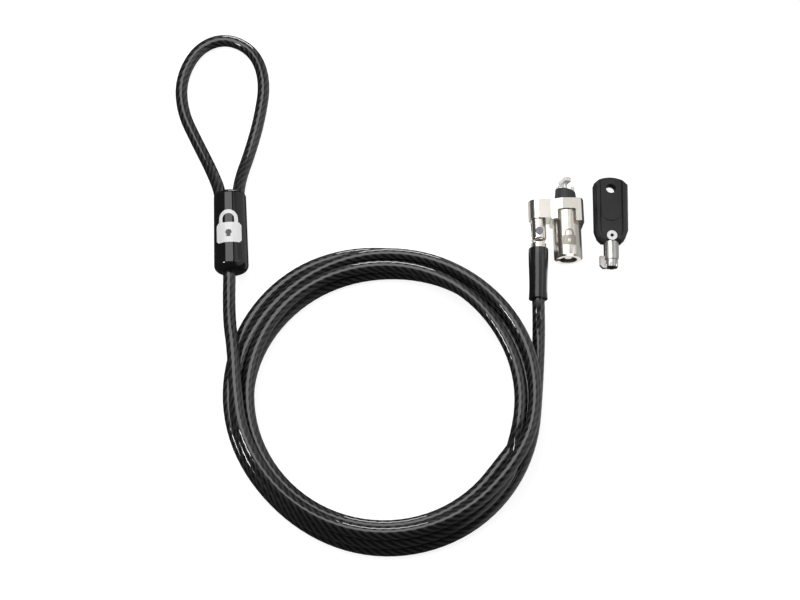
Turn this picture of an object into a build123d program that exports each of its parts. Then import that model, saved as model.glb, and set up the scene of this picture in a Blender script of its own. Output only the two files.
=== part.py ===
from build123d import *
from math import cos, pi, radians, sin, tan
import os

# Laptop cable lock lying on a table, in millimetres, +Z up, z = 0 at the table.
# The lock barrel lies along Y with its nose towards +Y. The origin is at the middle
# of the box round the lock head and its key, on the table.

os.makedirs("parts", exist_ok=True)

# ---- lock head layout
AXIS_Z = 6.5  # height of the barrel's and the fork's axes
LOCK_X = -5.4  # barrel axis
FORK_X = -16.2  # fork, boss and boot axis
RUN = 0.05  # radial clearance of every running fit
MOUTH_Y = -16.5  # key end of the barrel
NOSE_Y = 6.7  # laptop end of the barrel

# ---- barrel
BARREL_R = 5.3
BORE_R = 4.2
LIP = 1.5
KEYWAY_R = 3.3
NOTCH_W = 2.1  # keyway notch for the key's lug
NOTCH_R = 4.55
MOUTH_CHAMFER = 0.6
BARREL_RING_Y = 4.0
BARREL_RING_W = 0.8
BARREL_RING_IN = 4.85
BARREL_RING_OUT = 5.6

# ---- pin tumbler core
CORE_FRONT = -11.0
SHEAR_Y = -5.0  # plane between the core and the pin housing
SHEAR_GAP = 0.02
HOUSING_END = 2.4
POST_R = 1.6
POST_END = -15.7
POST_CHAMFER = 0.3
PINS = 7
PIN_CIRCLE_R = 2.5
PIN_R = 0.42
KEY_PIN_FRONT = -10.9
DRIVER_END = -2.6
SPRING_END = 1.8
SPRING_WALL = 0.15

# ---- locking bar and nose
SHANK_R = 1.3
SHANK_START = -9.0
NECK_R = 0.95
NECK_START = 7.6
T_HEAD_Y = 14.6
T_HEAD_T = 1.6
T_HEAD_L = 6.4
T_HEAD_W = 2.6
T_HEAD_EDGE = 0.4
T_HEAD_TURN = 73.0  # locked: the head stands across the two nose pins
CLIP_Y = 2.5
CLIP_T = 0.6
CLIP_R = 2.5
CLIP_GROOVE_R = 0.9
NOSE_PLATE_Y = 3.3
NOSE_PIN_X = 2.9
NOSE_PIN_R = 0.7
NOSE_PIN_START = 4.3
NOSE_PIN_END = 13.4
NOSE_PIN_CHAMFER = 0.2
PAD_BASE_R = 4.3
PAD_TOP_R = 3.7
PAD_HIGH = 5.3  # the pad is tall on the arm's side and slopes down away from it
PAD_LOW = 2.9
PAD_LIP = 0.8

# ---- swivel arm: a collar round the barrel and a boss for the fork's stem
COLLAR_HALF = 6.1
COLLAR_START = -1.5
COLLAR_END = 6.4
COLLAR_TOP = 12.5
COLLAR_CORNER = 3.0
LEFT_FACET_W = 4.0
LEFT_FACET_H = 1.8
RIGHT_FACET_W = 1.2
RIGHT_FACET_H = 2.2
LEG_END = -2.8  # the window's right leg reaches further down the barrel
WINDOW_X = -6.0
WINDOW_W = 6.8
WINDOW_END = 2.2
WINDOW_CORNER = 0.8
BOSS_R = 3.6
BOSS_START = -0.7
BOSS_END = 6.8
BOSS_BORE_END = 5.6

# ---- fork
FORK_R = 2.95
FORK_END = -9.1
FORK_TOP = -0.8
SLOT_H = 2.6
SLOT_END = -2.2
FORK_ROUND = 1.0
STEM_R = 1.6
STEM_END = 5.2
STEM_RING_Y = 3.4
STEM_RING_T = 0.6
STEM_GROOVE_R = 1.25
STEM_RING_R = 2.2
RIVET_Y = -5.8
RIVET_R = 0.9
RIVET_HEAD_R = 1.45
RIVET_HEAD_T = 0.45

# ---- cable and its end fittings
CABLE_R = 2.35
TONGUE_H = 2.4
TONGUE_R = 2.75
NECK_W = 3.6
FLANGE_Y = -10.3
FLANGE_END = -12.2
FLANGE_R = 2.95
CRIMP_R = 3.0
CRIMP_END = -24.0
CRIMP_BLIND = -17.0
BOOT_LEAN = 2.5  # degrees from -Y towards -X, about the rivet
BOOT_START = -12.3
BOOT_END = -32.0
BOOT_MID_Y = -20.0
BOOT_WAIST_Y = -28.5
BOOT_R = 3.7
BOOT_MID_R = 3.55
BOOT_WAIST_R = 3.35
BOOT_FLARE_R = 3.5
SLEEVE_X = -131.67  # centre of the sleeve's lower end
SLEEVE_Y = -21.5
SLEEVE_Z = 6.5
SLEEVE_LEAN = 3.85  # degrees from +Y towards -X
SLEEVE_L = 31.8
SLEEVE_R = 6.45
SLEEVE_TOP_R = 6.1
SLEEVE_ROUND = 1.6
SLEEVE_LOWER_ROUND = 2.8
LEG_OFFSET = 3.0
LEAD_OFFSET = -0.7  # the lead leaves a little to the left of the sleeve's axis
FERRULE_START = 5.0
FERRULE_END = 21.0
COIL_X = -75.2
COIL_Y = -68.3
COIL_OUT = 57.8
COIL_IN = 45.6
COIL_H = 13.0
COIL_ROUND = 4.4

# ---- key, along its own axis from the end of its tube
KEY_X = 11.35  # the key sets the lock head's box, which is centred on the origin
KEY_Y = -18.2
KEY_LEAN = 2.4  # degrees from +Y towards +X
TUBE_R = 2.85
TUBE_BORE = 1.7
TUBE_BORE_L = 9.0
NOSE_R = 2.4
KEY_NOSE_L = 2.9
KEY_CUT_L = 1.2
STEP_DEPTH = 0.6
STEP_H = 2.6
STEP_L = 1.3
KEY_Z = TUBE_R  # the tube rests on the table
KEY_SHOULDER = 9.9
TANG_R = 1.5
TANG_END = 17.0
LUG_W = 1.7
LUG_REACH = 4.4
LUG_START = -0.5
LUG_END = 4.3
LUG_CORNER = 1.1
HEAD_T = 5.2
HEAD_WEB = 3.8
HEAD_EDGE = 0.5
HEAD_TOP_EDGE = 0.9
HEAD_HALF = 6.5
HEAD_LOW_HALF = 6.3
HEAD_LOW_V = 14.6
HEAD_CORNER_HALF = 5.2
HEAD_CORNER_V = 11.5
HEAD_NECK_HALF = 3.6
HEAD_TOP_HALF = 4.6
HEAD_TOP_V = 35.4
HEAD_SIDE_V = 33.6
HEAD_END = 36.4
RIB_W = 2.1
RIB_DRAFT = 35.0  # degrees, slope of a rib's inner side
POCKET_START = 11.2
POCKET_CORNER = 3.2
RING_HOLE_V = 31.8
RING_HOLE_R = 1.9
MEDAL_V = 22.15
MEDAL_R = 3.7
MEDAL_RISE = 0.35
KEY_RIVET_V = 12.15
KEY_RIVET_R = 0.9
KEY_RIVET_HEAD_R = 1.95
KEY_RIVET_HEAD_T = 0.7
KEY_SOCKET_R = 0.75
KEY_SOCKET_T = 0.5

boot_lean = radians(BOOT_LEAN)
lean = radians(SLEEVE_LEAN)
turn = radians(KEY_LEAN)


def across_y(y, x=LOCK_X, z=AXIS_Z):
    """Plane facing +Y at height z, its x along +X and its y along -Z."""
    return Plane(origin=(x, y, z), x_dir=(1, 0, 0), z_dir=(0, 1, 0))


def boot_axis(y):
    """Point on the boot's leaning axis, y measured as if it stood straight."""
    reach = y - RIVET_Y
    return (FORK_X + reach * sin(boot_lean), RIVET_Y + reach * cos(boot_lean), AXIS_Z)


def across_boot(y):
    """Plane across the boot's axis, facing the fork."""
    along = (sin(boot_lean), cos(boot_lean), 0)
    return Plane(origin=boot_axis(y), x_dir=(cos(boot_lean), -sin(boot_lean), 0), z_dir=along)


def boot_flat(z):
    """Horizontal plane with its origin at the rivet and its y along the boot's axis."""
    x_dir = (cos(boot_lean), -sin(boot_lean), 0)
    return Plane(origin=(FORK_X, RIVET_Y, z), x_dir=x_dir, z_dir=(0, 0, 1))


def along_sleeve(v):
    """Plane facing up the sleeve's axis, v from its lower end."""
    origin = (SLEEVE_X - v * sin(lean), SLEEVE_Y + v * cos(lean), SLEEVE_Z)
    return Plane(origin=origin, x_dir=(cos(lean), sin(lean), 0), z_dir=(-sin(lean), cos(lean), 0))


def along_key(v, z=KEY_Z):
    """Plane facing up the key's axis, v from the end of its tube."""
    origin = (KEY_X + v * sin(turn), KEY_Y + v * cos(turn), z)
    return Plane(origin=origin, x_dir=(cos(turn), -sin(turn), 0), z_dir=(sin(turn), cos(turn), 0))


def key_flat(z):
    """Horizontal plane with its y along the key's axis."""
    return Plane(origin=(KEY_X, KEY_Y, z), x_dir=(cos(turn), -sin(turn), 0), z_dir=(0, 0, 1))


def save(part, name):
    """Label a finished piece and write its STEP file."""
    part.label = name
    export_step(part, f"parts/{name}.step")


def ring(name, plane, outer, inner, thick):
    """A flat ring, such as a retaining clip."""
    with BuildPart() as clip:
        with BuildSketch(plane):
            Circle(outer)
            Circle(inner, mode=Mode.SUBTRACT)
        extrude(amount=thick)
    save(clip.part, name)


def cord_radii(points):
    """Arc radius at each corner: 0.45 of the shorter run over the tangent of half the turn."""
    radii = []
    for before, at, after in zip(points, points[1:], points[2:]):
        first = Vector(at) - Vector(before)
        second = Vector(after) - Vector(at)
        half_turn = radians(first.get_angle(second)) / 2
        radii.append(0.45 * min(first.length, second.length) / tan(half_turn))
    return radii


def cord_tube(name, points):
    """A cable along straight runs joined by tangent arcs."""
    radii = cord_radii(points)
    with BuildPart() as tube:
        with BuildLine() as route:
            FilletPolyline(*points, radius=radii)
        with BuildSketch(Plane(origin=route.wire() @ 0, z_dir=route.wire() % 0)):
            Circle(CABLE_R)
        sweep(path=route.wire())
    length = route.wire().length
    print(name, "length", round(length, 1), "radii", [round(r, 1) for r in radii])
    print(name, "volume", round(tube.part.volume, 1), "of", round(pi * CABLE_R**2 * length, 1))
    save(tube.part, name)


# ---- cable: routes of the stretches that are not coiled
EYE_ROUTE = [
    (-136.1, -0.8, 6.5),
    (-136.8, 9.2, 6.5),
    (-141.6, 21.0, 3.6),
    (-148.6, 34.5, 2.4),
    (-155.0, 47.5, 2.4),
    (-156.6, 62.0, 2.4),
    (-150.6, 76.0, 2.4),
    (-139.5, 81.0, 2.4),
    (-127.8, 75.0, 2.4),
    (-122.6, 61.5, 2.4),
    (-124.2, 44.5, 2.4),
    (-127.6, 29.0, 2.5),
    (-130.4, 18.0, 4.2),
    (-130.8, 8.8, 6.4),
    (-130.1, -0.4, 6.5),
]
LOCK_ROUTE = [
    boot_axis(CRIMP_BLIND),
    boot_axis(-28.5),
    (-17.1, -42.0, 3.4),
    (-17.6, -52.5, 2.4),
    (-18.4, -62.0, 2.4),
]
LOOP_ROUTE = [
    (-132.7, -16.5, 6.5),
    (-132.4, -23.0, 6.5),
    (-132.1, -31.0, 7.1),
    (-131.1, -42.0, 8.8),
    (-129.1, -52.0, 9.6),
]
cord_tube("cable_eye", EYE_ROUTE)
cord_tube("lock_lead", LOCK_ROUTE)
cord_tube("loop_lead", LOOP_ROUTE)

# ---- coil: outer shape of the wound cable
with BuildPart() as cable_coil:
    with BuildSketch(Plane.XY):
        with Locations((COIL_X, COIL_Y)):
            Circle(COIL_OUT)
            Circle(COIL_IN, mode=Mode.SUBTRACT)
    extrude(amount=COIL_H)
    fillet(cable_coil.edges(), radius=COIL_ROUND)
save(cable_coil.part, "cable_coil")

# ---- loop sleeve: moulded cover over the crimp that closes the eye
with BuildPart() as loop_sleeve:
    with BuildSketch(along_sleeve(0)):
        Circle(SLEEVE_R)
    with BuildSketch(along_sleeve(SLEEVE_L)):
        Circle(SLEEVE_TOP_R)
    loft()
    rims = loop_sleeve.edges().filter_by(GeomType.CIRCLE).sort_by(Axis.Y)
    fillet(rims[0], radius=SLEEVE_LOWER_ROUND)
    fillet(rims[-1], radius=SLEEVE_ROUND)
    with BuildSketch(along_sleeve(FERRULE_START)):
        SlotCenterToCenter(2 * LEG_OFFSET, 2 * CABLE_R)
    extrude(amount=SLEEVE_L, mode=Mode.SUBTRACT)
    with BuildSketch(along_sleeve(0)):
        with Locations((LEAD_OFFSET, 0)):
            Circle(CABLE_R)
    extrude(amount=FERRULE_START, mode=Mode.SUBTRACT)
save(loop_sleeve.part, "loop_sleeve")

# ---- loop ferrule: oval crimp inside the sleeve
with BuildPart() as loop_ferrule:
    with BuildSketch(along_sleeve(FERRULE_START)):
        SlotCenterToCenter(2 * LEG_OFFSET, 2 * CABLE_R)
    extrude(amount=FERRULE_END - FERRULE_START)
save(loop_ferrule.part, "loop_ferrule")

# ---- cable terminal: eye tongue, flange and crimp in one turned piece
with BuildPart() as cable_terminal:
    with BuildSketch(boot_flat(AXIS_Z - TONGUE_H / 2)):
        Circle(TONGUE_R)
        with Locations((0, (FLANGE_Y - RIVET_Y) / 2)):
            Rectangle(NECK_W, RIVET_Y - FLANGE_Y)
    extrude(amount=TONGUE_H)
    with BuildSketch(across_boot(FLANGE_Y)):
        Circle(FLANGE_R)
    extrude(amount=FLANGE_END - FLANGE_Y)
    with BuildSketch(across_boot(FLANGE_END)):
        Circle(CRIMP_R)
    extrude(amount=CRIMP_END - FLANGE_END)
    with BuildSketch(across_boot(CRIMP_BLIND)):
        Circle(CABLE_R)
    extrude(amount=CRIMP_END - CRIMP_BLIND, mode=Mode.SUBTRACT)
    with BuildSketch(boot_flat(0)):
        Circle(RIVET_R + RUN)
    extrude(amount=COLLAR_TOP, mode=Mode.SUBTRACT)
save(cable_terminal.part, "cable_terminal")

# ---- cable boot: shrunk sleeve over the crimp, with a waist and a flared end
with BuildPart() as cable_boot:
    with BuildSketch(boot_flat(AXIS_Z)):
        with BuildLine():
            Polyline(
                (CABLE_R, BOOT_END - RIVET_Y),
                (CABLE_R, CRIMP_END - RIVET_Y),
                (CRIMP_R, CRIMP_END - RIVET_Y),
                (CRIMP_R, BOOT_START - RIVET_Y),
                (BOOT_R, BOOT_START - RIVET_Y),
            )
            Spline(
                (BOOT_R, BOOT_START - RIVET_Y),
                (BOOT_MID_R, BOOT_MID_Y - RIVET_Y),
                (BOOT_WAIST_R, BOOT_WAIST_Y - RIVET_Y),
                (BOOT_FLARE_R, BOOT_END - RIVET_Y),
            )
            Line((BOOT_FLARE_R, BOOT_END - RIVET_Y), (CABLE_R, BOOT_END - RIVET_Y))
        make_face()
    revolve(axis=Axis(boot_axis(RIVET_Y), (sin(boot_lean), cos(boot_lean), 0)))
save(cable_boot.part, "cable_boot")

# ---- fork: swivel stem above, two ears below that straddle the cable terminal
with BuildPart() as fork:
    with BuildSketch(across_y(FORK_END, FORK_X)):
        Circle(FORK_R)
    extrude(amount=FORK_TOP - FORK_END)
    fillet(fork.edges().group_by(Axis.Y)[0], radius=FORK_ROUND)
    with BuildSketch(across_y(FORK_TOP, FORK_X)):
        Circle(STEM_R)
    extrude(amount=STEM_END - FORK_TOP)
    with BuildSketch(across_y(STEM_RING_Y, FORK_X)):
        Circle(STEM_R)
        Circle(STEM_GROOVE_R, mode=Mode.SUBTRACT)
    extrude(amount=STEM_RING_T, mode=Mode.SUBTRACT)
    with BuildSketch(across_y(FORK_END, FORK_X)):
        Rectangle(2 * FORK_R, SLOT_H)
    extrude(amount=SLOT_END - FORK_END, mode=Mode.SUBTRACT)
    with BuildSketch(Plane.XY):
        with Locations((FORK_X, RIVET_Y)):
            Circle(RIVET_R)
    extrude(amount=COLLAR_TOP, mode=Mode.SUBTRACT)
save(fork.part, "fork")

# ---- pivot rivet: pin with a round head on each side of the fork
with BuildPart() as pivot_rivet:
    with BuildSketch(Plane.XY.offset(AXIS_Z - FORK_R)):
        with Locations((FORK_X, RIVET_Y)):
            Circle(RIVET_R)
    extrude(amount=2 * FORK_R)
    for side in (-1, 1):
        with BuildSketch(Plane.XY.offset(AXIS_Z + side * FORK_R)):
            with Locations((FORK_X, RIVET_Y)):
                Circle(RIVET_HEAD_R)
        extrude(amount=side * RIVET_HEAD_T)
save(pivot_rivet.part, "pivot_rivet")

# ---- stem ring: snap ring that keeps the fork in the arm
ring("stem_ring", across_y(STEM_RING_Y, FORK_X), STEM_RING_R, STEM_GROOVE_R, STEM_RING_T)

# ---- swivel arm: collar, window over the barrel, side legs and the boss
with BuildPart() as swivel_arm:
    with BuildSketch(across_y(COLLAR_START, LOCK_X, COLLAR_TOP / 2)):
        Rectangle(2 * COLLAR_HALF, COLLAR_TOP)
    extrude(amount=COLLAR_END - COLLAR_START)
    with BuildSketch(across_y(LEG_END, LOCK_X, COLLAR_TOP / 2)):
        with Locations((COLLAR_HALF / 2, 0)):
            Rectangle(COLLAR_HALF, COLLAR_TOP)
    extrude(amount=COLLAR_START - LEG_END)
    long_edges = swivel_arm.edges().filter_by(Axis.Y).group_by(Axis.Z)
    right_top = long_edges[-1].sort_by(Axis.X)[-1]
    left_top = long_edges[-1].sort_by(Axis.X)[0]
    low_edges = [edge for edge in long_edges[0] if abs(edge.center().X - LOCK_X) > COLLAR_HALF / 2]
    fillet(low_edges, radius=COLLAR_CORNER)
    chamfer(left_top, length=LEFT_FACET_H, length2=LEFT_FACET_W)
    chamfer(right_top, length=RIGHT_FACET_W, length2=RIGHT_FACET_H)
    with BuildSketch(Plane.XY.offset(AXIS_Z)):
        with Locations((WINDOW_X, COLLAR_START)):
            RectangleRounded(WINDOW_W, 2 * (WINDOW_END - COLLAR_START), WINDOW_CORNER)
        with Locations((WINDOW_X - COLLAR_HALF / 2, LEG_END)):
            Rectangle(COLLAR_HALF + WINDOW_W, 2 * (COLLAR_START - LEG_END))
    extrude(amount=COLLAR_TOP, mode=Mode.SUBTRACT)
    with BuildSketch(across_y(BOSS_START, FORK_X)):
        Circle(BOSS_R)
        with Locations(((LOCK_X - FORK_X) / 2, 0)):
            Rectangle(LOCK_X - FORK_X, 2 * BOSS_R)
    extrude(amount=BOSS_END - BOSS_START)
    with BuildSketch(across_y(LEG_END)):
        Circle(BARREL_R + RUN)
    extrude(amount=BOSS_END - LEG_END, mode=Mode.SUBTRACT)
    with BuildSketch(across_y(BARREL_RING_Y - 2 * RUN)):
        Circle(BARREL_RING_OUT + 2 * RUN)
    extrude(amount=BARREL_RING_W + 4 * RUN, mode=Mode.SUBTRACT)
    with BuildSketch(across_y(BOSS_START, FORK_X)):
        Circle(STEM_R + RUN)
    extrude(amount=BOSS_BORE_END - BOSS_START, mode=Mode.SUBTRACT)
    with BuildSketch(across_y(STEM_RING_Y - 2 * RUN, FORK_X)):
        Circle(STEM_RING_R + 2 * RUN)
    extrude(amount=STEM_RING_T + 4 * RUN, mode=Mode.SUBTRACT)
save(swivel_arm.part, "swivel_arm")

# ---- lock barrel: outer shell with the keyway mouth and its notch
with BuildPart() as lock_barrel:
    with BuildSketch(across_y(MOUTH_Y)):
        Circle(BARREL_R)
    extrude(amount=NOSE_Y - MOUTH_Y)
    chamfer(lock_barrel.edges().group_by(Axis.Y)[0], length=MOUTH_CHAMFER)
    with BuildSketch(across_y(MOUTH_Y + LIP)):
        Circle(BORE_R)
    extrude(amount=NOSE_Y - MOUTH_Y, mode=Mode.SUBTRACT)
    with BuildSketch(across_y(MOUTH_Y)):
        Circle(KEYWAY_R)
        with Locations((-NOTCH_R / 2, 0)):
            Rectangle(NOTCH_R, NOTCH_W)
    extrude(amount=LIP, mode=Mode.SUBTRACT)
    with BuildSketch(across_y(BARREL_RING_Y)):
        Circle(BARREL_R)
        Circle(BARREL_RING_IN, mode=Mode.SUBTRACT)
    extrude(amount=BARREL_RING_W, mode=Mode.SUBTRACT)
save(lock_barrel.part, "lock_barrel")

# ---- barrel ring: snap ring between the barrel and the collar
ring("barrel_ring", across_y(BARREL_RING_Y), BARREL_RING_OUT, BARREL_RING_IN, BARREL_RING_W)

# ---- lock core: rotor with seven pin holes and the keyway's centre post
with BuildPart() as lock_core:
    with BuildSketch(across_y(CORE_FRONT)):
        Circle(BORE_R - RUN)
    extrude(amount=SHEAR_Y - SHEAR_GAP - CORE_FRONT)
    with BuildSketch(across_y(POST_END)):
        Circle(POST_R)
    extrude(amount=CORE_FRONT - POST_END)
    chamfer(lock_core.edges().group_by(Axis.Y)[0], length=POST_CHAMFER)
    with BuildSketch(across_y(CORE_FRONT)):
        with PolarLocations(PIN_CIRCLE_R, PINS):
            Circle(PIN_R + RUN)
    extrude(amount=SHEAR_Y - CORE_FRONT, mode=Mode.SUBTRACT)
    with BuildSketch(across_y(SHANK_START)):
        Circle(SHANK_R)
    extrude(amount=SHEAR_Y - SHANK_START, mode=Mode.SUBTRACT)
save(lock_core.part, "lock_core")

# ---- pin housing: fixed block with the driver pins and their springs
with BuildPart() as pin_housing:
    with BuildSketch(across_y(SHEAR_Y)):
        Circle(BORE_R)
        Circle(SHANK_R + RUN, mode=Mode.SUBTRACT)
    extrude(amount=HOUSING_END - SHEAR_Y)
    with BuildSketch(across_y(SHEAR_Y)):
        with PolarLocations(PIN_CIRCLE_R, PINS):
            Circle(PIN_R + RUN)
    extrude(amount=SPRING_END - SHEAR_Y, mode=Mode.SUBTRACT)
save(pin_housing.part, "pin_housing")


def pin_set(name, start, end, wall=None):
    """Seven equal pins on the pin circle, or seven sleeves if a wall is given."""
    with BuildPart() as pins:
        with BuildSketch(across_y(start)):
            with PolarLocations(PIN_CIRCLE_R, PINS):
                Circle(PIN_R)
            if wall:
                with PolarLocations(PIN_CIRCLE_R, PINS):
                    Circle(PIN_R - wall, mode=Mode.SUBTRACT)
        extrude(amount=end - start)
    save(pins.part, name)


pin_set("key_pins", KEY_PIN_FRONT, SHEAR_Y - SHEAR_GAP)
pin_set("driver_pins", SHEAR_Y, DRIVER_END)
pin_set("pin_springs", DRIVER_END, SPRING_END, SPRING_WALL)

# ---- t_bar: spindle from the core out of the nose, with its locking head
with BuildPart() as t_bar:
    with BuildSketch(across_y(SHANK_START)):
        Circle(SHANK_R)
    extrude(amount=NECK_START - SHANK_START)
    with BuildSketch(across_y(CLIP_Y)):
        Circle(SHANK_R)
        Circle(CLIP_GROOVE_R, mode=Mode.SUBTRACT)
    extrude(amount=CLIP_T, mode=Mode.SUBTRACT)
    with BuildSketch(across_y(NECK_START)):
        Circle(NECK_R)
    extrude(amount=T_HEAD_Y - NECK_START)
    with BuildSketch(across_y(T_HEAD_Y)):
        RectangleRounded(T_HEAD_L, T_HEAD_W, T_HEAD_EDGE, rotation=-T_HEAD_TURN)
    extrude(amount=T_HEAD_T)
save(t_bar.part, "t_bar")

# ---- core clip: retaining ring on the spindle behind the pin housing
ring("core_clip", across_y(CLIP_Y), CLIP_R, CLIP_GROOVE_R, CLIP_T)

# ---- nose plate: closes the barrel and holds the two nose pins
with BuildPart() as nose_plate:
    with BuildSketch(across_y(NOSE_PLATE_Y)):
        Circle(BORE_R)
        Circle(SHANK_R + RUN, mode=Mode.SUBTRACT)
    extrude(amount=NOSE_Y - NOSE_PLATE_Y)
    with BuildSketch(across_y(NOSE_PIN_START)):
        with Locations((-NOSE_PIN_X, 0), (NOSE_PIN_X, 0)):
            Circle(NOSE_PIN_R)
    extrude(amount=NOSE_Y - NOSE_PIN_START, mode=Mode.SUBTRACT)
save(nose_plate.part, "nose_plate")

# ---- nose pins: two fixed pins that stop the lock turning in the laptop's slot
with BuildPart() as nose_pins:
    with BuildSketch(across_y(NOSE_PIN_START)):
        with Locations((-NOSE_PIN_X, 0), (NOSE_PIN_X, 0)):
            Circle(NOSE_PIN_R)
    extrude(amount=NOSE_PIN_END - NOSE_PIN_START)
    chamfer(nose_pins.edges().group_by(Axis.Y)[-1], length=NOSE_PIN_CHAMFER)
save(nose_pins.part, "nose_pins")

# ---- rubber pad: tapered, with a sloping face against the laptop
with BuildPart() as rubber_pad:
    with BuildSketch(across_y(NOSE_Y)):
        Circle(PAD_BASE_R)
    with BuildSketch(across_y(NOSE_Y + PAD_HIGH)):
        Circle(PAD_TOP_R)
    loft()
    with BuildSketch(Plane.XY):
        with BuildLine():
            Polyline(
                (LOCK_X - PAD_BASE_R, NOSE_Y + PAD_HIGH),
                (LOCK_X - PAD_TOP_R, NOSE_Y + PAD_HIGH),
                (LOCK_X + PAD_TOP_R, NOSE_Y + PAD_LOW + PAD_LIP),
                (LOCK_X + PAD_BASE_R, NOSE_Y + PAD_LOW),
                (LOCK_X + PAD_BASE_R, NOSE_Y + 2 * PAD_HIGH),
                (LOCK_X - PAD_BASE_R, NOSE_Y + 2 * PAD_HIGH),
                close=True,
            )
        make_face()
    extrude(amount=COLLAR_TOP, mode=Mode.SUBTRACT)
    with BuildSketch(across_y(NOSE_Y)):
        Circle(SHANK_R + 4 * RUN)
        with Locations((-NOSE_PIN_X, 0), (NOSE_PIN_X, 0)):
            Circle(NOSE_PIN_R)
    extrude(amount=2 * PAD_HIGH, mode=Mode.SUBTRACT)
save(rubber_pad.part, "rubber_pad")


def key_outline():
    """Outline of the key's head in its own flat plane: rounded below, chamfered and arched above."""
    sides = [
        (HEAD_NECK_HALF, KEY_SHOULDER),
        (HEAD_CORNER_HALF, HEAD_CORNER_V),
        (HEAD_LOW_HALF, HEAD_LOW_V),
        (HEAD_HALF, HEAD_SIDE_V),
        (HEAD_TOP_HALF, HEAD_TOP_V),
    ]
    mirrored = [(-u, v) for u, v in sides]
    Polyline(*mirrored)
    ThreePointArc(mirrored[-1], (0, HEAD_END), sides[-1])
    Polyline(*reversed(sides))
    Line(sides[0], mirrored[0])


def key_top(depth=0):
    """Flat plane at a depth below the head's upper face."""
    return key_flat(KEY_Z + HEAD_T / 2 - depth)


def key_bottom():
    """Flat plane at the head's lower face."""
    return key_flat(KEY_Z - HEAD_T / 2)


# ---- key head: moulded grip with raised ribs, ring hole and a round boss
with BuildPart() as key_head:
    with BuildSketch(key_bottom()):
        with BuildLine():
            key_outline()
        make_face()
    extrude(amount=HEAD_T)
    chamfer(key_head.edges().group_by(Axis.Z)[0], length=HEAD_EDGE)
    chamfer(key_head.edges().group_by(Axis.Z)[-1], length=HEAD_TOP_EDGE)
    for face, inward in ((key_top(), -1), (key_bottom(), 1)):
        with BuildSketch(face):
            with Locations((0, POCKET_START + HEAD_END / 2)):
                RectangleRounded(2 * (HEAD_HALF - RIB_W), HEAD_END, POCKET_CORNER)
        extrude(amount=inward * (HEAD_T - HEAD_WEB) / 2, taper=RIB_DRAFT, mode=Mode.SUBTRACT)
    with BuildSketch(key_top((HEAD_T - HEAD_WEB) / 2)):
        with Locations((0, MEDAL_V)):
            Circle(MEDAL_R)
    extrude(amount=MEDAL_RISE)
    with BuildSketch(key_bottom()):
        with Locations((0, RING_HOLE_V)):
            Circle(RING_HOLE_R)
        with Locations((0, KEY_RIVET_V)):
            Circle(KEY_RIVET_R)
    extrude(amount=HEAD_T, mode=Mode.SUBTRACT)
    with BuildSketch(along_key(KEY_SHOULDER)):
        Circle(TANG_R)
    extrude(amount=TANG_END - KEY_SHOULDER, mode=Mode.SUBTRACT)
    for face, inward in ((key_top(), -1), (key_bottom(), 1)):
        with BuildSketch(face):
            with Locations((0, KEY_RIVET_V)):
                Circle(KEY_RIVET_HEAD_R)
        extrude(amount=inward * KEY_RIVET_HEAD_T, mode=Mode.SUBTRACT)
save(key_head.part, "key_head")

# ---- key tube: coded tube, its lug, its stepped end and the tang inside the head
with BuildPart() as key_tube:
    with BuildSketch(along_key(0)):
        Circle(NOSE_R)
    extrude(amount=KEY_NOSE_L)
    with BuildSketch(along_key(KEY_NOSE_L)):
        Circle(TUBE_R)
    extrude(amount=KEY_SHOULDER - KEY_NOSE_L)
    with BuildSketch(along_key(KEY_SHOULDER)):
        Circle(TANG_R)
    extrude(amount=TANG_END - KEY_SHOULDER)
    with BuildSketch(key_flat(KEY_Z - LUG_W / 2)):
        with BuildLine():
            Polyline(
                (0, LUG_START + LUG_CORNER),
                (-NOSE_R, LUG_START),
                (-LUG_REACH + LUG_CORNER, LUG_START),
                (-LUG_REACH, LUG_START + LUG_CORNER),
                (-LUG_REACH, LUG_END),
                (0, LUG_END),
                close=True,
            )
        make_face()
    extrude(amount=LUG_W)
    with BuildSketch(along_key(0)):
        Circle(TUBE_BORE)
    extrude(amount=TUBE_BORE_L, mode=Mode.SUBTRACT)
    with BuildSketch(along_key(0)):
        with PolarLocations(PIN_CIRCLE_R, PINS):
            Circle(PIN_R)
    extrude(amount=KEY_CUT_L, mode=Mode.SUBTRACT)
    with BuildSketch(along_key(KEY_NOSE_L)):
        with Locations((TUBE_R, 0)):
            Rectangle(2 * STEP_DEPTH, STEP_H)
    extrude(amount=STEP_L, mode=Mode.SUBTRACT)
    with BuildSketch(key_bottom()):
        with Locations((0, KEY_RIVET_V)):
            Circle(KEY_RIVET_R)
    extrude(amount=HEAD_T, mode=Mode.SUBTRACT)
save(key_tube.part, "key_tube")

# ---- key rivet: pins the tube's tang into the head
with BuildPart() as key_rivet:
    with BuildSketch(key_bottom()):
        with Locations((0, KEY_RIVET_V)):
            Circle(KEY_RIVET_R)
    extrude(amount=HEAD_T)
    for face, inward in ((key_top(), -1), (key_bottom(), 1)):
        with BuildSketch(face):
            with Locations((0, KEY_RIVET_V)):
                Circle(KEY_RIVET_HEAD_R)
        extrude(amount=inward * KEY_RIVET_HEAD_T)
    with BuildSketch(key_top()):
        with Locations((0, KEY_RIVET_V)):
            RegularPolygon(KEY_SOCKET_R, 6)
    extrude(amount=-KEY_SOCKET_T, mode=Mode.SUBTRACT)
save(key_rivet.part, "key_rivet")
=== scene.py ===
from math import cos, hypot, pi, radians, sin

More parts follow.
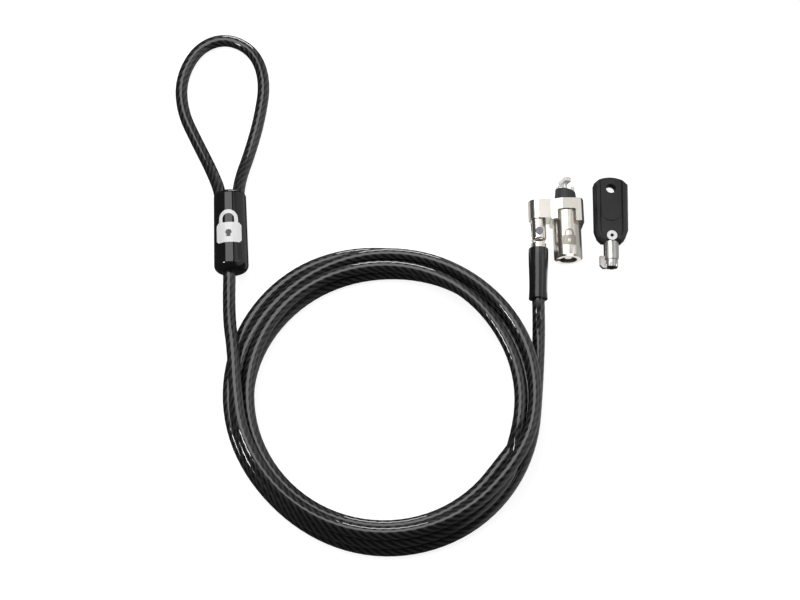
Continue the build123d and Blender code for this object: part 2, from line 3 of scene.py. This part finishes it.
import bpy
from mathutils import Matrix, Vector


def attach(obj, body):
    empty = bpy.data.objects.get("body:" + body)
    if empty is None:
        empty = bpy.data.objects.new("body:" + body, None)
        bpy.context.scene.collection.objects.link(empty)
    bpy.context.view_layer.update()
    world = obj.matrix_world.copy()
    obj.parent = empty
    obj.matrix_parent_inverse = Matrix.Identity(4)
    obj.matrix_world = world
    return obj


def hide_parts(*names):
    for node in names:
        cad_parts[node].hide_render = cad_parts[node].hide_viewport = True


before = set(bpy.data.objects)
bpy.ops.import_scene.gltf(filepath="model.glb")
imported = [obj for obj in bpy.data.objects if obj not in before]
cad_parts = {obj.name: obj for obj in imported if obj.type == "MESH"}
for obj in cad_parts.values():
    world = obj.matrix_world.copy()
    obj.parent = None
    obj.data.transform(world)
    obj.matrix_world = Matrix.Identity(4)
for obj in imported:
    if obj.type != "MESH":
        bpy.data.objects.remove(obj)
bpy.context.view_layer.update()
MM = 0.001

# ---------------------------------------------------------------- shared sizes, in mm
AXIS_Z = 6.5
LOCK_X = -5.4
FORK_X = -16.2
CABLE_R = 2.35
BARREL_R = 5.3
SLEEVE_X, SLEEVE_Y, SLEEVE_Z = -131.67, -21.5, 6.5
SLEEVE_LEAN = radians(3.85)
SLEEVE_L, SLEEVE_R, SLEEVE_TOP_R = 31.8, 6.45, 6.1
COIL_X, COIL_Y = -75.2, -68.3

# ---------------------------------------------------------------- cable and surface detail
STRANDS = 7
LAY = 23.4  # mm along for one turn of the strands
SIDES_PER_STRAND = 4
RIPPLE = 0.013  # mm, how far the jacket sinks between two strands
RING_STEP = 0.8  # mm between the jacket's rings
LUMP_SCALE = 240.0  # noise scale of the boot's lumps, about 4 mm apart
ETCHING_Y = -9.3  # middle of the barrel's mark
PRINT_LIFT, ETCHING_LIFT = 0.03, 0.015  # mm that a mark stands off its part


# ---------------------------------------------------------------- camera, light and floor
def make_camera():
    """Looks down at 72 degrees from the key end of the lock, 50 mm lens."""
    target = Vector((-68.65, -30.2, 0.0)) * MM
    distance = 419.3 * MM
    tilt = radians(72)
    data = bpy.data.cameras.new("camera")
    data.lens = 50
    data.sensor_width = 36
    data.clip_start = 0.01
    cam = bpy.data.objects.new("camera", data)
    bpy.context.scene.collection.objects.link(cam)
    back = Vector((0, -cos(tilt), sin(tilt)))
    cam.location = target + back * distance
    cam.rotation_mode = "QUATERNION"
    cam.rotation_quaternion = (-back).to_track_quat("-Z", "Y")
    bpy.context.scene.camera = cam


def soft_box(name, low, high, radiance, facing="-Z"):
    """A rectangular light between two corners in mm, facing an axis."""
    low, high = Vector(low) * MM, Vector(high) * MM
    span = high - low
    data = bpy.data.lights.new(name, "AREA")
    data.shape = "RECTANGLE"
    turn, across = {
        "-Z": ((0, 0, 0), (span.x, span.y)),
        "+Z": ((pi, 0, 0), (span.x, span.y)),
        "-Y": ((-pi / 2, 0, 0), (span.x, span.z)),
        "+Y": ((pi / 2, 0, 0), (span.x, span.z)),
    }[facing]
    data.size, data.size_y = across
    data.energy = radiance * pi * data.size * data.size_y
    light = bpy.data.objects.new(name, data)
    light.rotation_euler = turn
    light.location = (low + high) / 2
    light.visible_camera = False
    bpy.context.scene.collection.objects.link(light)


def spot_box(name, place, target, side, radiance):
    """A small square light turned to a target."""
    data = bpy.data.lights.new(name, "AREA")
    data.shape = "SQUARE"
    data.size = side * MM
    data.energy = radiance * pi * data.size**2
    light = bpy.data.objects.new(name, data)
    light.visible_camera = False
    bpy.context.scene.collection.objects.link(light)
    light.location = Vector(place) * MM
    aim = (Vector(target) - Vector(place)) * MM
    light.rotation_mode = "QUATERNION"
    light.rotation_quaternion = aim.to_track_quat("-Z", "Y")


def studio_sky():
    """Dim grey, with a soft light wall to the right."""
    world = bpy.data.worlds.new("studio")
    world.use_nodes = True
    tree = world.node_tree
    source = tree.nodes.new("ShaderNodeTexCoord")
    side = tree.nodes.new("ShaderNodeVectorMath")
    side.operation = "DOT_PRODUCT"
    side.inputs[1].default_value = (1, 0, 0)
    wall = tree.nodes.new("ShaderNodeMapRange")
    wall.interpolation_type = "SMOOTHSTEP"
    wall.inputs["From Min"].default_value = 0.45
    wall.inputs["From Max"].default_value = 0.75
    wall.inputs["To Min"].default_value = 0.04
    wall.inputs["To Max"].default_value = 0.6
    tree.links.new(source.outputs["Generated"], side.inputs[0])
    tree.links.new(side.outputs["Value"], wall.inputs["Value"])
    tree.links.new(wall.outputs["Result"], tree.nodes["Background"].inputs["Strength"])
    tree.nodes["Background"].inputs["Color"].default_value = (1, 1, 1, 1)
    bpy.context.scene.world = world


def make_studio():
    """Pale floor, dim sky, ceiling panels, a low light behind and a small one on the left.

    The cards are small lights close over the lock head and the key, and the glows lie just
    over the table under them. They are there for the reflections in the metal.
    """
    bpy.context.scene.view_settings.view_transform = "Standard"
    studio_sky()
    ceiling, card, glow = 400, 40, 0.1
    soft_box("main_panel", (-374, -38, ceiling), (0, 300, ceiling), 3.1)
    soft_box("dim_panel", (62, -60, ceiling), (700, 260, ceiling), 0.7)
    soft_box("arm_card", (-45, -3, card), (-4, 24, card), 0.95)
    soft_box("collar_card", (-4, -3, card), (10, 24, card), 0.65)
    soft_box("key_card", (11, -14, card), (22, -1, card), 1.0)
    soft_box("back_light", (-250, 700, 60), (100, 700, 260), 12, facing="-Y")
    soft_box("mouth_card", (-12, -40, 8), (8, -40, 30), 2.5, facing="+Y")
    soft_box("under_glow", (-45, -10, glow), (-3, 45, glow), 0.8, facing="+Z")
    soft_box("mouth_glow", (-9, -26, glow), (3, -16.8, glow), 1.2, facing="+Z")
    spot_box("left_light", (-494, -118, 420), (-68, -30, 0), 90, 30)
    make_floor()


def make_floor():
    """A pale, slightly glowing table top, 6 m wide, that the metal doesn't reflect."""
    mesh = bpy.data.meshes.new("floor")
    half = 3.0
    corners = [(-half, -half, 0), (half, -half, 0), (half, half, 0), (-half, half, 0)]
    mesh.from_pydata(corners, [], [(0, 1, 2, 3)])
    floor = bpy.data.objects.new("floor", mesh)
    floor.visible_glossy = False
    bpy.context.scene.collection.objects.link(floor)
    mat = bpy.data.materials.new("floor_white")
    mat.use_nodes = True
    shader = mat.node_tree.nodes["Principled BSDF"]
    shader.inputs["Base Color"].default_value = (0.35, 0.35, 0.35, 1)
    shader.inputs["Roughness"].default_value = 0.9
    shader.inputs["Specular IOR Level"].default_value = 0.1
    shader.inputs["Emission Color"].default_value = (1, 1, 1, 1)
    shader.inputs["Emission Strength"].default_value = 0.86
    mesh.materials.append(mat)


# ---------------------------------------------------------------- materials
class Shader:
    """A Principled material with short calls for its nodes."""

    def __init__(self, name, **sockets):
        self.mat = bpy.data.materials.new(name)
        self.mat.use_nodes = True
        self.tree = self.mat.node_tree
        self.main = self.tree.nodes["Principled BSDF"]
        for key, value in sockets.items():
            self.main.inputs[key.replace("_", " ")].default_value = value

    def node(self, kind, **values):
        made = self.tree.nodes.new(kind)
        for key, value in values.items():
            setattr(made, key, value)
        return made

    def link(self, source, target):
        self.tree.links.new(source, target)

    def coords(self, which="Object", scale=(1, 1, 1), turn=(0, 0, 0)):
        """Texture coordinates through a mapping."""
        source = self.node("ShaderNodeTexCoord")
        mapping = self.node("ShaderNodeMapping")
        mapping.inputs["Scale"].default_value = scale
        mapping.inputs["Rotation"].default_value = turn
        self.link(source.outputs[which], mapping.inputs["Vector"])
        return mapping.outputs["Vector"]

    def noise(self, vector, scale, detail=3.0, rough=0.55):
        tex = self.node("ShaderNodeTexNoise")
        tex.inputs["Scale"].default_value = scale
        tex.inputs["Detail"].default_value = detail
        tex.inputs["Roughness"].default_value = rough
        self.link(vector, tex.inputs["Vector"])
        return tex.outputs["Fac"]

    def ramp(self, value, stops):
        """Value to colour or grey through a list of (position, colour)."""
        ramp = self.node("ShaderNodeValToRGB")
        band = ramp.color_ramp
        while len(band.elements) < len(stops):
            band.elements.new(0.5)
        for element, (place, colour) in zip(band.elements, stops):
            element.position = place
            if not isinstance(colour, tuple):
                colour = (colour, colour, colour)
            element.color = (*colour, 1)
        self.link(value, ramp.inputs["Fac"])
        return ramp.outputs["Color"]

    def spread(self, value, low, high):
        """Maps a 0.3 to 0.7 noise onto low to high."""
        span = self.node("ShaderNodeMapRange")
        span.inputs["From Min"].default_value = 0.3
        span.inputs["From Max"].default_value = 0.7
        span.inputs["To Min"].default_value = low
        span.inputs["To Max"].default_value = high
        self.link(value, span.inputs["Value"])
        return span.outputs["Result"]

    def bump(self, height, strength, distance_mm, socket="Normal"):
        bump = self.node("ShaderNodeBump")
        bump.inputs["Strength"].default_value = strength
        bump.inputs["Distance"].default_value = distance_mm * MM
        self.link(height, bump.inputs["Height"])
        self.link(bump.outputs["Normal"], self.main.inputs[socket])


def cable_material():
    """Dark strands under a clear glossy jacket. UV: u is mm along, v is the turn round."""
    s = Shader("cable_jacket", Roughness=0.4, IOR=1.5, Specular_IOR_Level=0.2)
    s.main.inputs["Coat Weight"].default_value = 1.0
    s.main.inputs["Coat Roughness"].default_value = 0.07
    s.main.inputs["Coat IOR"].default_value = 1.5
    source = s.node("ShaderNodeUVMap", uv_map="run")
    split = s.node("ShaderNodeSeparateXYZ")
    s.link(source.outputs["UV"], split.inputs["Vector"])
    wave = s.node("ShaderNodeMath", operation="MULTIPLY")
    wave.inputs[1].default_value = 2 * pi * STRANDS
    s.link(split.outputs["Y"], wave.inputs[0])
    crest = s.node("ShaderNodeMath", operation="COSINE")
    s.link(wave.outputs[0], crest.inputs[0])
    lobes = s.node("ShaderNodeMapRange")
    lobes.inputs["From Min"].default_value = -1
    lobes.inputs["From Max"].default_value = 1
    s.link(crest.outputs[0], lobes.inputs["Value"])
    grain = s.noise(s.coords(), 900.0, 2.0)
    mixed = s.node("ShaderNodeMath", operation="MULTIPLY_ADD")
    mixed.inputs[1].default_value = 0.35
    s.link(grain, mixed.inputs[0])
    s.link(lobes.outputs["Result"], mixed.inputs[2])
    tone = s.ramp(mixed.outputs[0], [(0.1, 0.0005), (0.55, 0.005), (1.0, 0.026)])
    s.link(tone, s.main.inputs["Base Color"])
    s.bump(lobes.outputs["Result"], 0.22, 0.3)
    return s.mat


def moulded_black(name, tone, rough, grain_mm, depth_mm, coat=0.0, swell_mm=0.0):
    """Moulded plastic: fine grain, a slight change of gloss, and soft lumps of swell_mm."""
    s = Shader(name, Roughness=rough, Specular_IOR_Level=0.5 * (1 - coat))
    s.main.inputs["Coat Weight"].default_value = coat
    s.main.inputs["Coat Roughness"].default_value = 0.05
    vector = s.coords()
    fine = s.noise(vector, 1000.0 / grain_mm, 2.0)
    broad = s.noise(vector, 90.0, 3.0)
    s.link(s.ramp(broad, [(0.3, tone * 0.8), (0.7, tone * 1.25)]), s.main.inputs["Base Color"])
    s.link(s.spread(broad, rough * 0.85, rough * 1.2), s.main.inputs["Roughness"])
    height = s.node("ShaderNodeMath", operation="MULTIPLY_ADD")
    height.inputs[1].default_value = swell_mm / depth_mm
    s.link(s.noise(vector, LUMP_SCALE, 1.0), height.inputs[0])
    s.link(fine, height.inputs[2])
    s.bump(height.outputs[0], 0.5, depth_mm)
    return s.mat


def satin_metal(name, colour, rough, stretch, grain_mm=0.25, metallic=1.0, depth_mm=0.012):
    """Plated metal with a fine stretched grain and faint warm patches."""
    s = Shader(name, Metallic=metallic, Roughness=rough)
    grain = s.noise(s.coords(scale=stretch), 1000.0 / grain_mm, 3.0, 0.6)
    broad = s.noise(s.coords(), 160.0, 3.0)
    warm = tuple(c * k for c, k in zip(colour, (1.0, 0.97, 0.93)))
    s.link(s.ramp(broad, [(0.35, colour), (0.7, warm)]), s.main.inputs["Base Color"])
    s.link(s.spread(grain, rough * 0.75, rough * 1.35), s.main.inputs["Roughness"])
    s.bump(grain, 0.5, depth_mm)
    return s.mat


def painted_recess_shade(name, colour, rough, top, depth_mm):
    """Bright metal with painted shade: dark in the recess under its top face; top is in the
    mesh's own metres.
    """
    s = Shader(name, Metallic=0.6, Roughness=rough)
    split = s.node("ShaderNodeSeparateXYZ")
    s.link(s.coords(), split.inputs["Vector"])
    level = s.node("ShaderNodeMapRange")
    level.inputs["From Min"].default_value = top - depth_mm * MM
    level.inputs["From Max"].default_value = top
    s.link(split.outputs["Z"], level.inputs["Value"])
    # Painted shade: the colour falls to near black below the top face.
    tone = s.ramp(level.outputs["Result"], [(0.6, 0.015), (0.95, colour)])
    s.link(tone, s.main.inputs["Base Color"])
    return s.mat


def painted(name, tone, rough=0.5):
    """Printed or etched area."""
    s = Shader(name, Roughness=rough)
    speck = s.noise(s.coords(), 3000.0, 2.0)
    s.link(s.ramp(speck, [(0.3, tone * 0.93), (0.7, tone)]), s.main.inputs["Base Color"])
    return s.mat


def dress(node, mat):
    """Gives a carried-over CAD node its material."""
    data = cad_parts[node].data
    data.materials.clear()
    data.materials.append(mat)


# ---------------------------------------------------------------- cord routes, in mm
EYE_ROUTE = [
    (-136.1, -0.8, 6.5),
    (-136.8, 9.2, 6.5),
    (-141.6, 21.0, 3.6),
    (-148.6, 34.5, 2.4),
    (-155.0, 47.5, 2.4),
    (-156.6, 62.0, 2.4),
    (-150.6, 76.0, 2.4),
    (-139.5, 81.0, 2.4),
    (-127.8, 75.0, 2.4),
    (-122.6, 61.5, 2.4),
    (-124.2, 44.5, 2.4),
    (-127.6, 29.0, 2.5),
    (-130.4, 18.0, 4.2),
    (-130.8, 8.8, 6.4),
    (-130.1, -0.4, 6.5),
]
LOCK_ROUTE = [
    (-16.69, -17.0, AXIS_Z),
    (-17.19, -28.5, AXIS_Z),
    (-17.1, -42.0, 3.4),
    (-17.6, -52.5, 2.4),
]
LOOP_ROUTE = [
    (-129.1, -52.0, 10.6),
    (-131.1, -42.0, 9.2),
    (-132.1, -31.0, 7.1),
    (-132.4, -23.0, 6.5),
    (-132.7, -16.5, 6.5),
]

# Coil: places of the cable in the bundle's section, a to e from the bottom outside to the top,
# as radius and height. Each pass keeps its place round the bottom half and moves up one
# place on the far side, the upper passes first.
PLACES = [
    [(56.2, 2.4), (51.1, 2.4), (53.6, 6.4), (50.9, 10.2), (55.7, 10.6)],  # right
    [(57.0, 2.4), (51.8, 2.4), (48.7, 6.0), (54.3, 6.3), (51.5, 10.1)],
    [(55.0, 2.4), (50.0, 2.4), (47.1, 6.2), (52.4, 6.6), (49.7, 10.6)],  # bottom
    [(51.9, 2.4), (47.1, 2.4), (47.5, 7.1), (52.3, 7.1), (49.9, 11.2)],
    [(56.5, 2.4), (50.6, 2.4), (48.9, 6.9), (53.6, 6.4), (52.3, 11.0)],  # left
    [(58.9, 2.4), (47.8, 2.4), (50.6, 6.4), (53.4, 2.4), (53.4, 2.4)],
    [(55.4, 2.4), (46.9, 2.4), (49.0, 6.7), (49.0, 6.7), (54.3, 7.0)],  # top
    [(55.6, 2.4), (49.5, 2.4), (51.6, 6.5), (49.9, 8.4), (55.3, 8.9)],
]
TURNS = 4.5
STEPS = 24  # route points in a turn
SHIFT_START = (0.83, 0.72, 0.61, 0.5)  # where in a turn passes a to d begin to move up a place
SHIFT_SPAN = 0.17
SETTLE_ROUNDS = 150
EASING = 0.1  # part of the way to its neighbours' middle that a point moves in a round
PULL = 0.03  # part of the way back to its place
PASS_GAP = 0.06  # mm kept free between passes
FLOOR_GAP = 0.02  # mm kept free over the table


def smooth(x):
    x = min(max(x, 0.0), 1.0)
    return x * x * (3 - 2 * x)


def place_at(angle, index):
    """Radius and height of a place at an angle, in turns, blended between eighths."""
    eighth = (angle % 1.0) * len(PLACES)
    first = int(eighth)
    mix = smooth(eighth - first)
    a = PLACES[first][index]
    b = PLACES[(first + 1) % len(PLACES)][index]
    return a[0] + (b[0] - a[0]) * mix, a[1] + (b[1] - a[1]) * mix


def coil_points():
    """The coil's turns: each pass in its place, then what touches is pushed apart and eased."""
    count = int(TURNS * STEPS) + 1
    top = len(SHIFT_START)  # the last place
    want = []
    for i in range(count):
        level = min(int(i / STEPS), top)
        angle = i / STEPS - level
        mix = smooth((angle - SHIFT_START[level]) / SHIFT_SPAN) if level < top else 0.0
        low, high = place_at(angle, level), place_at(angle, min(level + 1, top))
        want.append([low[k] + (high[k] - low[k]) * mix for k in range(2)])
    now = [list(place) for place in want]
    apart = 2 * CABLE_R + PASS_GAP
    for _ in range(SETTLE_ROUNDS):
        for i in range(1, count - 1):
            for k in range(2):
                now[i][k] += EASING * ((now[i - 1][k] + now[i + 1][k]) / 2 - now[i][k])
                now[i][k] += PULL * (want[i][k] - now[i][k])
        for i in range(count):
            for j in range(i + STEPS, count, STEPS):
                dr, dz = now[j][0] - now[i][0], now[j][1] - now[i][1]
                gap = hypot(dr, dz)
                push = max(0.0, 0.5 * (apart - gap)) / gap
                now[i] = [now[i][0] - push * dr, now[i][1] - push * dz]
                now[j] = [now[j][0] + push * dr, now[j][1] + push * dz]
        for place in now:
            place[1] = max(place[1], CABLE_R + FLOOR_GAP)
    points = []
    for i, (r, z) in enumerate(now):
        angle = -2 * pi * i / STEPS
        points.append((COIL_X + r * cos(angle), COIL_Y + r * sin(angle), z))
    return points


def spline_points(name, route):
    """Points along the route's NURBS spline, in metres."""
    curve = bpy.data.curves.new(name + "_line", "CURVE")
    curve.dimensions = "3D"
    spline = curve.splines.new("NURBS")
    spline.points.add(len(route) - 1)
    for point, place in zip(spline.points, route):
        point.co = (*(c * MM for c in place), 1)
    spline.order_u = 3
    spline.use_endpoint_u = True
    spline.resolution_u = 14
    holder = bpy.data.objects.new(name + "_line", curve)
    bpy.context.scene.collection.objects.link(holder)
    mesh = bpy.data.meshes.new_from_object(holder)
    points = [v.co.copy() for v in mesh.vertices]
    bpy.data.objects.remove(holder)
    bpy.data.meshes.remove(mesh)
    return points


def even_points(points, step):
    """The same line with points a step apart."""
    out = [points[0].copy()]
    left = step
    for a, b in zip(points, points[1:]):
        run = (b - a).length
        along = 0.0
        while run - along >= left:
            along += left
            out.append(a.lerp(b, along / run))
            left = step
        left -= run - along
    if (out[-1] - points[-1]).length > step / 3:
        out.append(points[-1].copy())
    return out


def cable_tube(name, points, mat):
    """A round jacket that follows the points, its vertices turning with the strands inside."""
    sides = STRANDS * SIDES_PER_STRAND
    ripple = RIPPLE * MM
    line = even_points(points, RING_STEP * MM)
    side = Vector((0, 0, 1))
    verts, faces, runs = [], [], []
    along = 0.0
    for i, here in enumerate(line):
        ahead = line[min(i + 1, len(line) - 1)] - line[max(i - 1, 0)]
        ahead.normalize()
        side = (side - ahead * side.dot(ahead)).normalized()
        other = ahead.cross(side)
        if i:
            along += (here - line[i - 1]).length
        twist = 2 * pi * along / (LAY * MM)
        for k in range(sides):
            angle = 2 * pi * k / sides
            r = CABLE_R * MM + ripple * (cos(angle * STRANDS) - 1)
            verts.append(here + (side * cos(angle + twist) + other * sin(angle + twist)) * r)
        runs.append(along / MM)
    for i in range(len(line) - 1):
        for k in range(sides):
            n = (k + 1) % sides
            a, b = i * sides, (i + 1) * sides
            faces.append((a + k, a + n, b + n, b + k))
    faces.append(tuple(reversed(range(sides))))
    last = (len(line) - 1) * sides
    faces.append(tuple(range(last, last + sides)))
    mesh = bpy.data.meshes.new(name)
    mesh.from_pydata(verts, [], faces)
    layer = mesh.uv_layers.new(name="run")
    for poly in mesh.polygons[: (len(line) - 1) * sides]:
        k = poly.index % sides
        i = poly.index // sides
        corners = ((i, k), (i, k + 1), (i + 1, k + 1), (i + 1, k))
        for loop, (ring, turn) in zip(poly.loop_indices, corners):
            layer.data[loop].uv = (runs[ring], turn / sides)
        poly.use_smooth = True
    mesh.materials.append(mat)
    tube = bpy.data.objects.new(name, mesh)
    bpy.context.scene.collection.objects.link(tube)
    return tube


def make_cables():
    """The two cords, which stand for the CAD's solid cable."""
    mat = cable_material()
    main_line = spline_points("main_cable", LOCK_ROUTE + coil_points() + LOOP_ROUTE)
    eye_line = spline_points("eye_cable", EYE_ROUTE)
    main = cable_tube("main_cable", main_line, mat)
    eye = cable_tube("eye_loop", eye_line, mat)
    for tube in (main, eye):
        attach(tube, "cable")
    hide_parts("cable_coil", "lock_lead", "loop_lead")
    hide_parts("cable_eye")


# ---------------------------------------------------------------- printed padlock pictograms
ICON_HALF, ICON_HEIGHT, ICON_CORNER = 5.2, 8.0, 1.2  # body, in mm at scale 1
ICON_RINGS, ICON_STEPS = 6, 96
CORNER_CUT = 0.12  # part of its reach that a corner's middle loses
CORNER_OVER = 0.414  # corner radii from a square corner to its arc
KEYHOLE_R = 1.15
KEYHOLE_TAIL = 1.55  # how many times further the hole reaches at its foot
KEYHOLE_FOOT = -0.86  # sine of the angle where the foot begins
SHACKLE_R, SHACKLE_BAND, SHACKLE_LEG = 3.0, 1.5, 1.4
SHACKLE_STEPS = 24
SHACKLE_SINK = 0.1  # how far the legs run into the body
ICON_MIDDLE = 2.0  # the drawing's centre sits above the body's


def padlock_body():
    """Rings of points from the keyhole out to the body's rounded edge."""
    half, tall = ICON_HALF, ICON_HEIGHT / 2
    body = []
    for k in range(ICON_RINGS + 1):
        row = []
        for i in range(ICON_STEPS + 1):
            angle = 2 * pi * i / ICON_STEPS
            c, d = cos(angle), sin(angle)
            reach = 1 / max(abs(c) / half, abs(d) / tall)
            side = max(abs(c * reach) - half + ICON_CORNER, 0)
            end = max(abs(d * reach) - tall + ICON_CORNER, 0)
            over = hypot(side, end)
            reach *= 1 - CORNER_CUT * max(0.0, over / ICON_CORNER - 1) / CORNER_OVER
            slot = KEYHOLE_R * (KEYHOLE_TAIL if d < KEYHOLE_FOOT else 1.0)
            r = slot + (reach - slot) * k / ICON_RINGS
            row.append((c * r, d * r))
        body.append(row)
    return body


def padlock_shackle():
    """Inner, middle and outer line of the bow, from leg to leg."""
    tall = ICON_HEIGHT / 2
    shackle = []
    for k in range(3):
        r = SHACKLE_R + SHACKLE_BAND * (k / 2 - 0.5)
        row = [(-r, tall - SHACKLE_SINK)]
        for i in range(SHACKLE_STEPS + 1):
            angle = pi * i / SHACKLE_STEPS
            row.append((-r * cos(angle), tall + SHACKLE_LEG + r * sin(angle)))
        row.append((r, tall - SHACKLE_SINK))
        shackle.append(row)
    return shackle


def padlock_grid(scale):
    """A padlock outline as strips of quads: rows of (across, along) points in mm."""
    strips = (padlock_body(), padlock_shackle())
    return [
        [[(u * scale, (v - ICON_MIDDLE) * scale) for u, v in row] for row in rows]
        for rows in strips
    ]


def wrap_mark(name, scale, middle, axis, across, up, radius, lift, mat, body):
    """Lays the pictogram on a round part: radius is a function of the distance along its axis."""
    verts, faces = [], []
    for rows in padlock_grid(scale):
        base = len(verts)
        width = len(rows[0])
        for row in rows:
            for u, v in row:
                r = radius(v) + lift
                spin = u / r
                place = middle + axis * v + (across * sin(spin) + up * cos(spin)) * r
                verts.append(place * MM)
        for k in range(len(rows) - 1):
            for i in range(width - 1):
                a = base + k * width + i
                faces.append((a, a + 1, a + width + 1, a + width))
    mesh = bpy.data.meshes.new(name)
    mesh.from_pydata(verts, [], faces)
    mesh.materials.append(mat)
    mark = bpy.data.objects.new(name, mesh)
    bpy.context.scene.collection.objects.link(mark)
    for poly in mesh.polygons:
        poly.use_smooth = True
    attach(mark, body)


make_camera()
make_studio()
make_cables()

# ---------------------------------------------------------------- carried-over CAD nodes
nickel = satin_metal(
    "satin_nickel", (0.60, 0.58, 0.54), 0.2, (2, 1, 2), 0.45, metallic=0.95, depth_mm=0.022
)
steel = satin_metal("tube_steel", (0.46, 0.46, 0.46), 0.2, (4, 1, 4), metallic=0.95)
bright = satin_metal("bright_steel", (0.74, 0.74, 0.74), 0.2, (2, 1, 2), metallic=0.9)
hammered = satin_metal("hammered_steel", (0.13, 0.135, 0.15), 0.25, (1, 1, 1), 0.5, depth_mm=0.12)
zinc = satin_metal("cast_zinc", (0.68, 0.68, 0.675), 0.42, (1, 1, 1), metallic=0.4)
etched = satin_metal("etched_nickel", (0.33, 0.31, 0.275), 0.5, (1, 1, 1), metallic=0.8)
print_white = painted("print_white", 0.8, 0.3)
spring = satin_metal("spring_steel", (0.42, 0.41, 0.40), 0.3, (1, 1, 1))
brass = satin_metal("brass", (0.72, 0.53, 0.24), 0.26, (1, 1, 1))
gloss_black = moulded_black("gloss_black", 0.008, 0.12, 0.6, 0.003, coat=1.0)
shrink_black = moulded_black("shrink_black", 0.008, 0.2, 1.2, 0.03, swell_mm=0.3)
pad_rubber = moulded_black("pad_rubber", 0.02, 0.62, 0.18, 0.05)
key_black = moulded_black("key_black", 0.011, 0.3, 0.16, 0.02)

for node in ("lock_barrel", "swivel_arm", "fork", "cable_terminal", "nose_plate", "lock_core"):
    dress(node, nickel)
for node in ("t_bar", "nose_pins"):
    dress(node, zinc)
# The key rivet gets painted shade: its colour goes dark in the recess below its top face.
rivet_top = max(v.co.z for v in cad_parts["key_rivet"].data.vertices)
dress("key_rivet", painted_recess_shade("peened_steel_painted_shade", 0.92, 0.25, rivet_top, 0.5))
dress("driver_pins", bright)
dress("pivot_rivet", hammered)
dress("key_tube", steel)
for node in ("stem_ring", "barrel_ring", "core_clip", "pin_springs", "loop_ferrule"):
    dress(node, spring)
for node in ("pin_housing", "key_pins"):
    dress(node, brass)
dress("loop_sleeve", gloss_black)
dress("cable_boot", shrink_black)
dress("rubber_pad", pad_rubber)
dress("key_head", key_black)

sleeve_axis = Vector((-sin(SLEEVE_LEAN), cos(SLEEVE_LEAN), 0))
sleeve_across = Vector((cos(SLEEVE_LEAN), sin(SLEEVE_LEAN), 0))
sleeve_middle = Vector((SLEEVE_X, SLEEVE_Y, SLEEVE_Z)) + sleeve_axis * (SLEEVE_L / 2)
taper = (SLEEVE_TOP_R - SLEEVE_R) / SLEEVE_L
wrap_mark(
    "sleeve_print",
    scale=1.0,
    middle=sleeve_middle,
    axis=sleeve_axis,
    across=sleeve_across,
    up=Vector((0, 0, 1)),
    radius=lambda v: SLEEVE_R + taper * (SLEEVE_L / 2 + v),
    lift=PRINT_LIFT,
    mat=print_white,
    body="cable",
)
wrap_mark(
    "barrel_etching",
    scale=0.5,
    middle=Vector((LOCK_X, ETCHING_Y, AXIS_Z)),
    axis=Vector((0, 1, 0)),
    across=Vector((1, 0, 0)),
    up=Vector((0, 0, 1)),
    radius=lambda v: BARREL_R,
    lift=ETCHING_LIFT,
    mat=etched,
    body="barrel",
)
